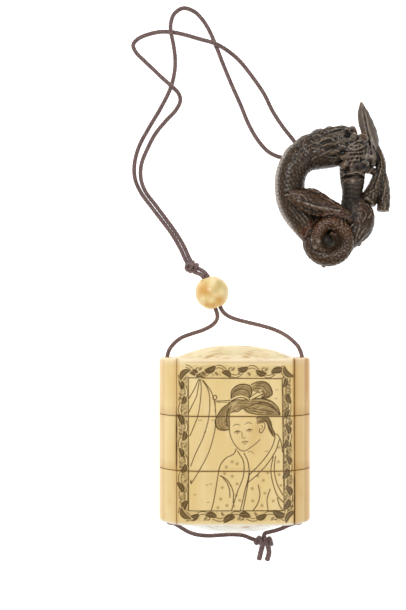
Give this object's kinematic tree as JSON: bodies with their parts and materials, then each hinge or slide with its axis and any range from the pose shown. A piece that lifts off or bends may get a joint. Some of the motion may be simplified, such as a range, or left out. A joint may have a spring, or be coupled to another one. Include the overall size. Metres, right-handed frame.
{
  "type": "inro case",
  "caption": "Tiered oval bone carrying case with an engraved front, hung by a silk cord with a sliding bead from a carved dragon toggle, lying flat.",
  "frame": {"origin": "centre of the case's flat back face, on the surface that the set lies on", "axes": "+Z out of the engraved front, +Y from the base of the case to its lid, +X to the right seen from the front"},
  "size_m": [0.1063, 0.23, 0.025],
  "materials": {
    "plate_bone": "polished aged bone, satin, engraved and ink-filled on the front",
    "end_bone": "polished bone, satin, with grain streaks",
    "bead_bone": "polished bone with honey patches",
    "carved_wood": "dark stained carved hardwood with a hand-worn gloss",
    "silk_cord": "round braided silk"
  },
  "bodies": {
    "root": {"lid_top": "end_bone", "bottom_base": "end_bone", "lid_front": "plate_bone", "lid_back": "plate_bone", "lid_side_left": "plate_bone", "lid_side_right": "plate_bone", "middle_front": "plate_bone", "middle_back": "plate_bone", "middle_side_left": "plate_bone", "middle_side_right": "plate_bone", "bottom_front": "plate_bone", "bottom_back": "plate_bone", "bottom_side_left": "plate_bone", "bottom_side_right": "plate_bone", "middle_floor": "plate_bone", "ojime_bead": "bead_bone", "dragon_netsuke": "carved_wood", "cord_left": "silk_cord", "cord_right": "silk_cord", "cord_netsuke_a": "silk_cord", "cord_netsuke_b": "silk_cord", "knot_upper": "silk_cord", "knot_lower": "silk_cord"}
  },
  "joints": []
}
